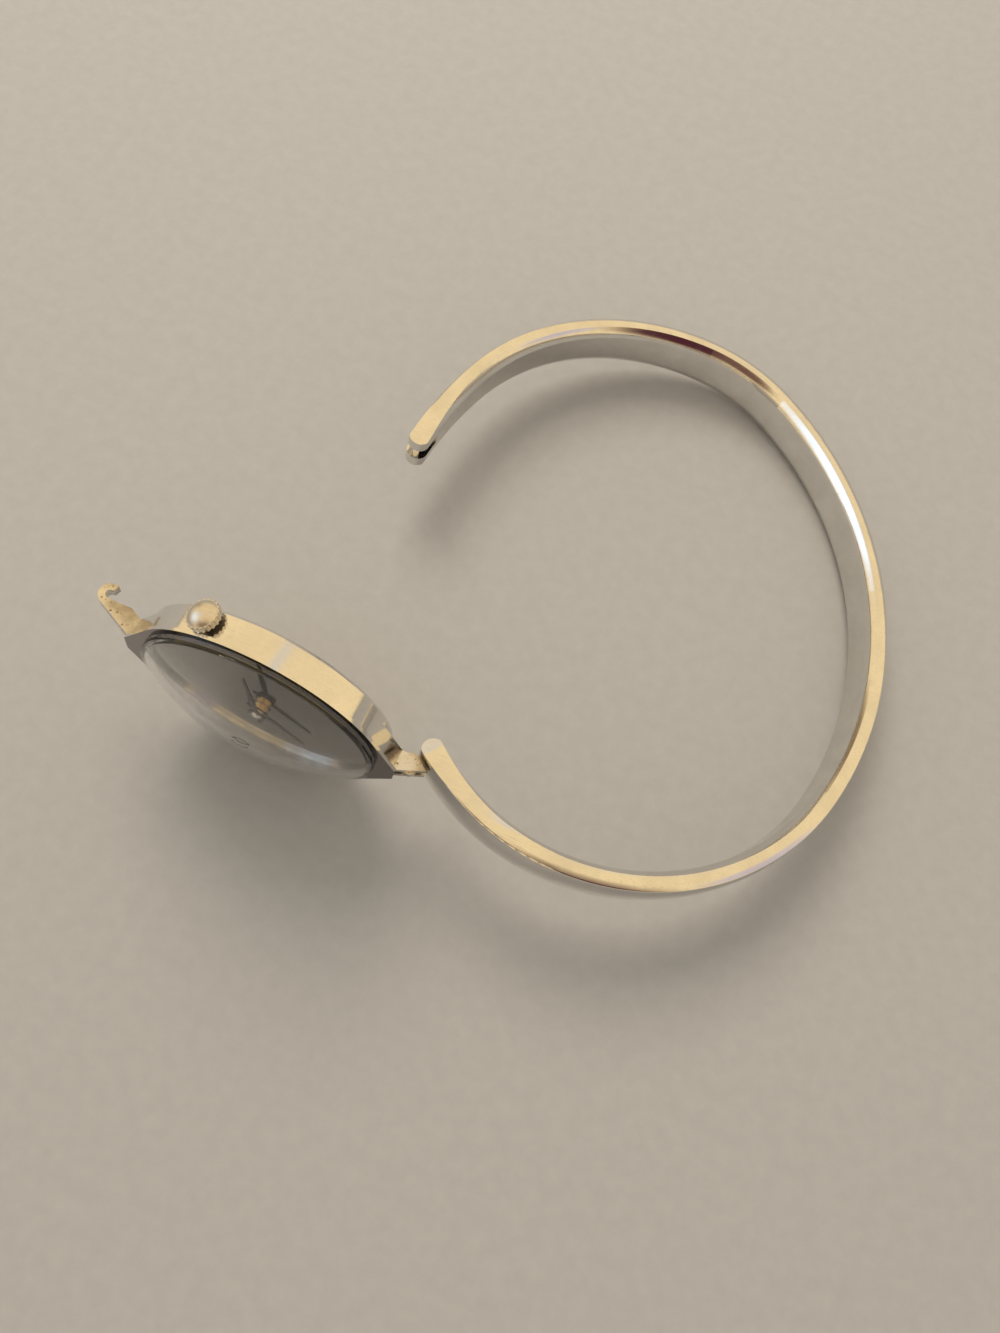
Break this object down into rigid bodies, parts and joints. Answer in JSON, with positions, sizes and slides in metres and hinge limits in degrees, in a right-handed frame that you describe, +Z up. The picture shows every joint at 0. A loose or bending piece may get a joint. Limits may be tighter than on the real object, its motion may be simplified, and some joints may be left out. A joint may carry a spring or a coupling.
{
  "type": "bangle watch",
  "caption": "Small round hand-wound watch hinged to one end of a sprung flat-sided metal bangle, with a hook on the case that catches a pin across the bangle's forked free end.",
  "frame": {"origin": "centre of the bounding box's underside: the floor under the object as it lies on its side", "axes": "+Z up from the floor; the bangle's loop lies nearly flat in X and Y, with the head swung open at low X and low Y"},
  "size_m": [0.0772, 0.0698, 0.0268],
  "materials": {
    "silver_steel": "polished silver-coloured metal with fine scratches",
    "solder_metal": "filed and soldered metal, dull and pitted",
    "crystal_clear": "clear polished acrylic",
    "dial_dark": "dark mirror lacquer",
    "hand_dark": "dark blued steel",
    "nickel": "nickel-plated brass with a fine brushed grain",
    "gilt": "gilt brass",
    "steel": "polished steel",
    "blue_steel": "blued spring steel",
    "ruby": "polished red synthetic stone",
    "seal": "black rubber",
    "ring_plastic": "grey moulded plastic"
  },
  "bodies": {
    "bangle": {"bangle_band": "silver_steel", "hinge_knuckle": "solder_metal", "catch_pin": "silver_steel"},
    "head": {"case_body": "silver_steel", "clasp_hook": "solder_metal", "hinge_ears": "solder_metal", "hinge_pin": "solder_metal", "crystal": "crystal_clear", "dial": "dial_dark", "movement_ring": "ring_plastic", "case_back": "silver_steel", "case_back_gasket": "seal", "crown_tube": "steel", "main_plate": "nickel", "barrel_bridge": "nickel", "train_bridge": "nickel", "balance_cock": "nickel", "pallet_bridge": "nickel", "bridge_screws": "blue_steel", "jewels": "ruby", "crown_wheel_screw": "blue_steel", "click_spring": "blue_steel", "hairspring": "blue_steel"},
    "crown_slide": {"crown_gasket": "seal"},
    "crown_turning": {"crown": "silver_steel", "winding_stem": "steel"},
    "winding_pinion_body": {"winding_pinion": "steel"},
    "sliding_pinion_body": {"sliding_pinion": "steel"},
    "crown_wheel_body": {"crown_wheel": "steel"},
    "ratchet": {"ratchet_wheel": "steel", "ratchet_screw": "blue_steel", "barrel_arbor": "steel"},
    "click_body": {"click": "steel"},
    "lever_body": {"setting_lever": "steel"},
    "third": {"third_wheel": "gilt"},
    "centre": {"centre_wheel": "gilt", "cannon_pinion": "steel", "minute_hand": "hand_dark"},
    "hour": {"hour_wheel": "gilt", "hour_hand": "hand_dark"},
    "minute_wheel_body": {"minute_wheel": "gilt"},
    "setting_wheel_body": {"setting_wheel": "steel"},
    "barrel": {"barrel_drum": "gilt", "barrel_lid": "gilt", "mainspring": "blue_steel"},
    "fourth": {"fourth_wheel": "gilt"},
    "escape": {"escape_wheel": "steel"},
    "pallet": {"pallet_fork": "steel"},
    "balance": {"balance_wheel": "gilt", "roller": "steel"}
  },
  "joints": [
    {"name": "head_hinge", "type": "hinge", "parent": "bangle", "child": "head", "pos_m": [-0.00384, -0.02948, 0.0115], "axis": [-0.0982, -0.1017, -0.99], "range_deg": [-10, 61.9]},
    {"name": "crown_pull", "type": "slide", "parent": "head", "child": "crown_slide", "axis": [-0.3643, 0.0929, 0.9266], "range_m": [0, 0.0008]},
    {"name": "crown_turn", "type": "hinge", "parent": "crown_slide", "child": "crown_turning", "pos_m": [-0.02403, -0.02784, 0.02503], "axis": [-0.3643, 0.0929, 0.9266], "continuous": true},
    {"name": "winding_pinion_turn", "type": "hinge", "parent": "head", "child": "winding_pinion_body", "pos_m": [-0.02169, -0.02844, 0.0191], "axis": [-0.3643, 0.0929, 0.9266], "continuous": true},
    {"name": "sliding_pinion_turn", "type": "hinge", "parent": "head", "child": "sliding_pinion_body", "pos_m": [-0.02117, -0.02857, 0.01776], "axis": [-0.3643, 0.0929, 0.9266], "continuous": true},
    {"name": "crown_wheel_turn", "type": "hinge", "parent": "head", "child": "crown_wheel_body", "pos_m": [-0.02097, -0.02862, 0.01725], "axis": [0.005, -0.9948, 0.1017], "continuous": true},
    {"name": "ratchet_turn", "type": "hinge", "parent": "head", "child": "ratchet", "pos_m": [-0.02409, -0.02898, 0.01388], "axis": [0.005, -0.9948, 0.1017], "continuous": true},
    {"name": "click_swing", "type": "hinge", "parent": "head", "child": "click_body", "pos_m": [-0.02538, -0.02943, 0.00956], "axis": [0.005, -0.9948, 0.1017], "range_deg": [-8, 0]},
    {"name": "setting_lever_swing", "type": "hinge", "parent": "head", "child": "lever_body", "pos_m": [-0.02429, -0.02844, 0.01916], "axis": [0.005, -0.9948, 0.1017], "range_deg": [0, 17.23]},
    {"name": "third_turn", "type": "hinge", "parent": "head", "child": "third", "pos_m": [-0.01789, -0.0294, 0.00944], "axis": [0.005, -0.9948, 0.1017], "continuous": true},
    {"name": "centre_turn", "type": "hinge", "parent": "head", "child": "centre", "pos_m": [-0.01929, -0.02905, 0.01299], "axis": [0.005, -0.9948, 0.1017], "continuous": true},
    {"name": "hour_turn", "type": "hinge", "parent": "head", "child": "hour", "pos_m": [-0.01928, -0.03009, 0.01309], "axis": [0.005, -0.9948, 0.1017], "continuous": true},
    {"name": "minute_wheel_turn", "type": "hinge", "parent": "head", "child": "minute_wheel_body", "pos_m": [-0.01911, -0.02876, 0.01579], "axis": [0.005, -0.9948, 0.1017], "continuous": true},
    {"name": "setting_wheel_turn", "type": "hinge", "parent": "head", "child": "setting_wheel_body", "pos_m": [-0.02078, -0.02853, 0.01813], "axis": [0.005, -0.9948, 0.1017], "continuous": true},
    {"name": "barrel_turn", "type": "hinge", "parent": "head", "child": "barrel", "pos_m": [-0.02409, -0.02898, 0.01388], "axis": [0.005, -0.9948, 0.1017], "continuous": true},
    {"name": "fourth_turn", "type": "hinge", "parent": "head", "child": "fourth", "pos_m": [-0.01597, -0.02915, 0.01183], "axis": [0.005, -0.9948, 0.1017], "continuous": true},
    {"name": "escape_turn", "type": "hinge", "parent": "head", "child": "escape", "pos_m": [-0.01604, -0.02887, 0.01454], "axis": [0.005, -0.9948, 0.1017], "continuous": true},
    {"name": "pallet_swing", "type": "hinge", "parent": "head", "child": "pallet", "pos_m": [-0.01475, -0.02872, 0.016], "axis": [0.005, -0.9948, 0.1017], "range_deg": [-4, 4]},
    {"name": "balance_swing", "type": "hinge", "parent": "head", "child": "balance", "pos_m": [-0.01398, -0.02862, 0.01688], "axis": [0.005, -0.9948, 0.1017], "range_deg": [-250, 250]}
  ],
  "couplings": [
    {"joint": "winding_pinion_turn", "follows": "crown_turn", "ratio": 1},
    {"joint": "sliding_pinion_turn", "follows": "crown_turn", "ratio": 1},
    {"joint": "crown_wheel_turn", "follows": "crown_turn", "ratio": 0.33333},
    {"joint": "ratchet_turn", "follows": "crown_turn", "ratio": -0.33333},
    {"joint": "setting_lever_swing", "follows": "crown_pull", "rad_per_m": 375.76},
    {"joint": "centre_turn", "follows": "third_turn", "ratio": -0.125},
    {"joint": "hour_turn", "follows": "third_turn", "ratio": -0.010417},
    {"joint": "minute_wheel_turn", "follows": "third_turn", "ratio": 0.041667},
    {"joint": "setting_wheel_turn", "follows": "third_turn", "ratio": -0.11538},
    {"joint": "barrel_turn", "follows": "third_turn", "ratio": 0.020833},
    {"joint": "fourth_turn", "follows": "third_turn", "ratio": -7.5},
    {"joint": "escape_turn", "follows": "third_turn", "ratio": 75}
  ]
}
